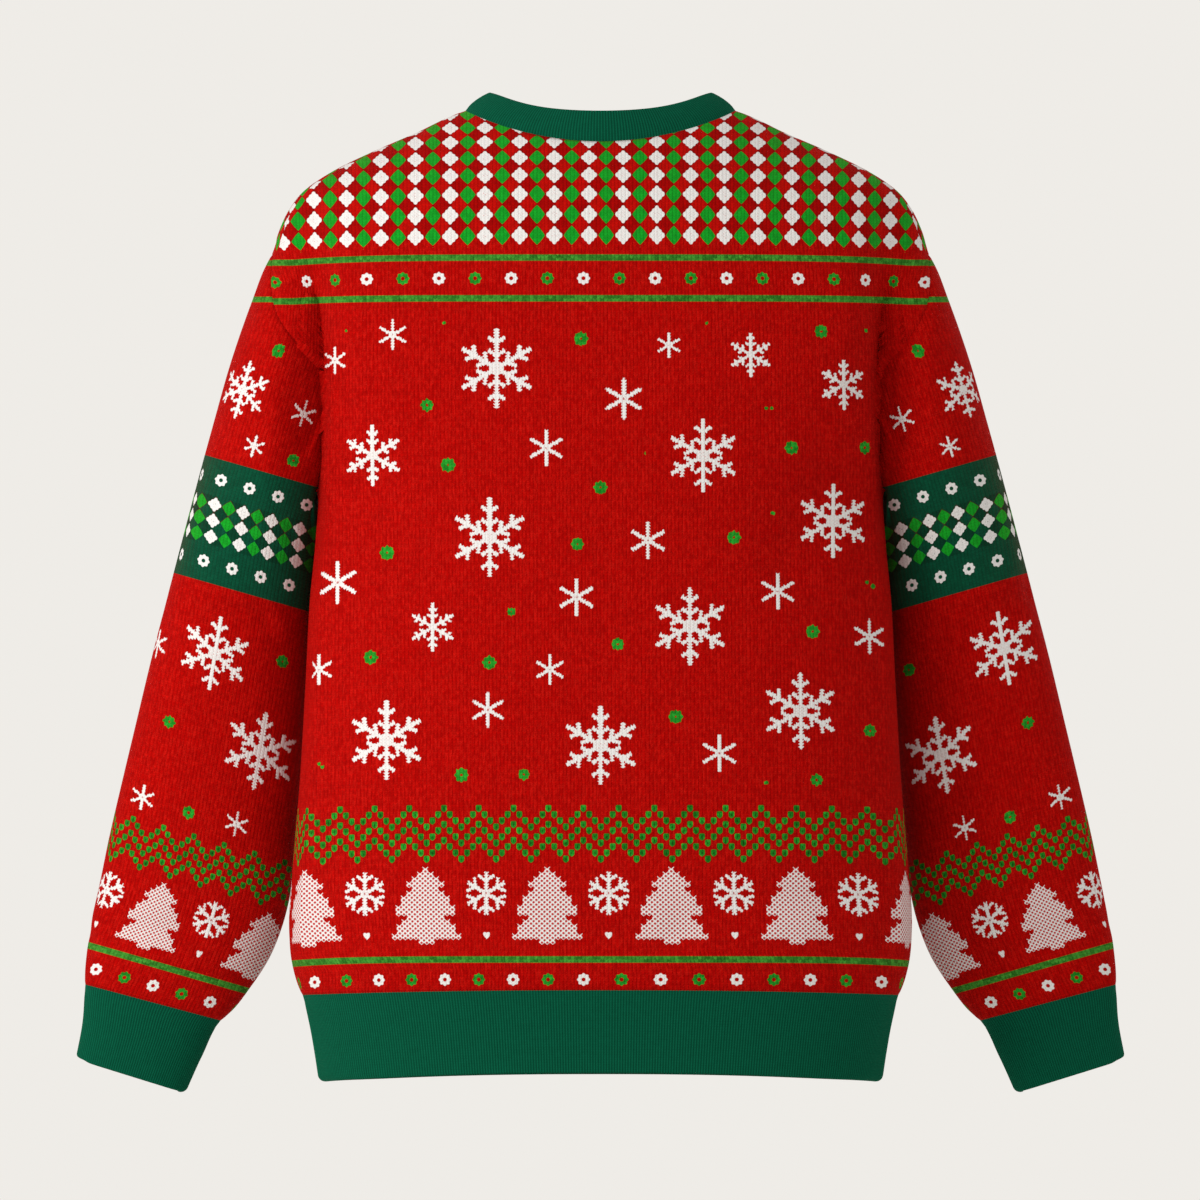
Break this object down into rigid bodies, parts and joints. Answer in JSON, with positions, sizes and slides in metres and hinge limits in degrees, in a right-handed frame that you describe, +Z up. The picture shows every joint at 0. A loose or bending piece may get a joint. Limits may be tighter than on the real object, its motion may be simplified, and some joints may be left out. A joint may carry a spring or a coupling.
{
  "type": "christmas sweater",
  "caption": "Crew-neck knitted Christmas sweater in its worn, filled-out form, with long hanging sleeves and ribbed neckband, cuffs and hem.",
  "frame": {"origin": "on the wearer's shoulder line, midway between the two high shoulder points, where the neckband's seam meets the shoulders", "axes": "+Z up; the wearer faces -Y, so the back panel is at +Y; +X is towards the wearer's left sleeve"},
  "size_m": [0.735, 0.2358, 0.701],
  "materials": {
    "back_knit": "matt red jacquard knit with white and green motifs",
    "front_knit": "matt red jacquard knit with white and green motifs",
    "neckband_rib": "matt dark green rib knit",
    "hem_rib_rib": "matt dark green rib knit",
    "sleeve_left_knit": "matt red jacquard knit with white and green motifs",
    "sleeve_right_knit": "matt red jacquard knit with white and green motifs",
    "cuff_left_rib": "matt dark green rib knit",
    "cuff_right_rib": "matt dark green rib knit"
  },
  "bodies": {
    "root": {"back": "back_knit", "front": "front_knit", "neckband": "neckband_rib", "hem_rib": "hem_rib_rib", "sleeve_left": "sleeve_left_knit", "sleeve_right": "sleeve_right_knit", "cuff_left": "cuff_left_rib", "cuff_right": "cuff_right_rib"}
  },
  "joints": []
}
